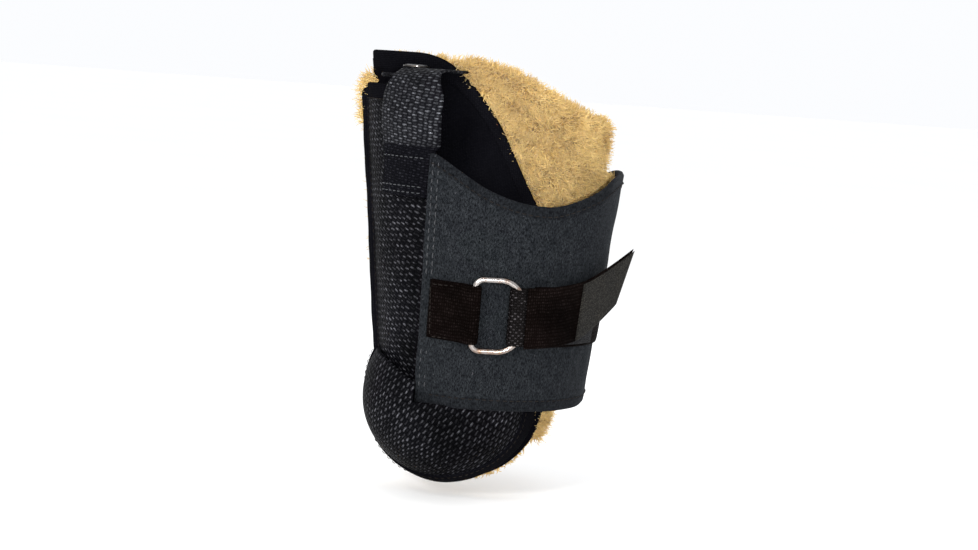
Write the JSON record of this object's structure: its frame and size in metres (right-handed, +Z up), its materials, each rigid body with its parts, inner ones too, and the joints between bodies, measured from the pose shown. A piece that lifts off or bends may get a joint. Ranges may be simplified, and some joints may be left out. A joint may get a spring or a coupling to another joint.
{
  "type": "ankle holster",
  "caption": "Sheepskin-lined ankle holster worn closed round the lower leg, with an empty pouch, hook-and-loop wrap, D-ring cinch strap and snap retention strap.",
  "frame": {"origin": "on the leg's axis at the height of the wrap's lower edge, in the middle of the leg opening", "axes": "+Z up along the leg, -Y towards the pouch on the outer side of the leg, +X towards the back of the leg (heel side)"},
  "size_m": [0.1347, 0.158, 0.2115],
  "materials": {
    "ballistic_nylon": "coarse ballistic weave",
    "band_fabric": "fine matt stretch fabric",
    "binding_tape": "smooth woven tape",
    "band_tape": "folded fabric edge",
    "lining": "smooth packcloth",
    "stiffener": "matt sheet",
    "sheepskin": "short curly wool",
    "webbing": "ribbed nylon webbing",
    "strap_webbing": "glossy ribbed webbing",
    "loop_tape": "napped loop tape",
    "hook_tape": "hook tape",
    "thread": "twisted thread",
    "ring_metal": "polished",
    "snap_metal": "blackened"
  },
  "bodies": {
    "holster": {"pouch_front_panel": "ballistic_nylon", "pouch_toe": "ballistic_nylon", "toe_binding": "binding_tape", "pouch_front_lining": "lining", "pouch_back_lining": "lining", "back_stiffener": "stiffener", "back_panel": "ballistic_nylon", "fleece_pad": "sheepskin", "edge_binding": "binding_tape", "seam_tape": "binding_tape", "ear_binding": "binding_tape", "back_binding": "binding_tape", "band_front_panel": "band_fabric", "mouth_binding": "band_tape", "band_hem": "band_tape", "band_fleece": "sheepskin", "band_stitching": "thread", "front_wing": "band_fabric", "wing_fleece": "sheepskin", "wing_loop_patch": "loop_tape", "ring_keeper": "webbing", "keeper_stitching": "thread", "cinch_strap_run": "webbing", "run_loop_patch": "loop_tape", "anchor_stitching": "thread", "retention_base": "strap_webbing", "base_stitching": "thread", "thumb_tab": "strap_webbing", "snap_stud": "snap_metal"},
    "ring": {"d_ring": "ring_metal", "strap_fold": "webbing"},
    "tail": {"strap_tail": "webbing", "tail_hook_patch": "hook_tape", "tail_end_tab": "hook_tape"},
    "retainer": {"retention_strap": "strap_webbing", "snap_socket": "snap_metal", "snap_cap": "snap_metal"},
    "far_wrap": {"band_far_panel": "band_fabric", "far_binding": "band_tape", "far_hem": "band_tape", "far_fleece": "sheepskin"},
    "flap": {"band_flap": "band_fabric", "flap_binding": "band_tape", "flap_hem": "band_tape", "flap_fleece": "sheepskin", "flap_hook_patch": "hook_tape"}
  },
  "joints": [
    {"name": "wrap_fold", "type": "hinge", "parent": "holster", "child": "far_wrap", "pos_m": [0.04317, 0.03023, 0], "axis": [-0.0896, -0.0627, -0.994], "range_deg": [0, 100]},
    {"name": "flap_fold", "type": "hinge", "parent": "far_wrap", "child": "flap", "pos_m": [-0.03388, 0.04037, 0], "axis": [0.0703, -0.0838, -0.994], "range_deg": [0, 110]},
    {"name": "ring_pivot", "type": "hinge", "parent": "holster", "child": "ring", "pos_m": [-0.00515, -0.09103, 0.046], "axis": [-0.0114, 0.1087, -0.994], "range_deg": [0, 25]},
    {"name": "tail_peel", "type": "hinge", "parent": "ring", "child": "tail", "pos_m": [0.02076, -0.09171, 0.04563], "axis": [-0.0114, 0.1087, -0.994], "range_deg": [0, 150]},
    {"name": "retainer_fold", "type": "hinge", "parent": "holster", "child": "retainer", "pos_m": [-0.04478, -0.07749, 0.1243], "axis": [0.7273, -0.6863, 0], "range_deg": [0, 110]}
  ]
}
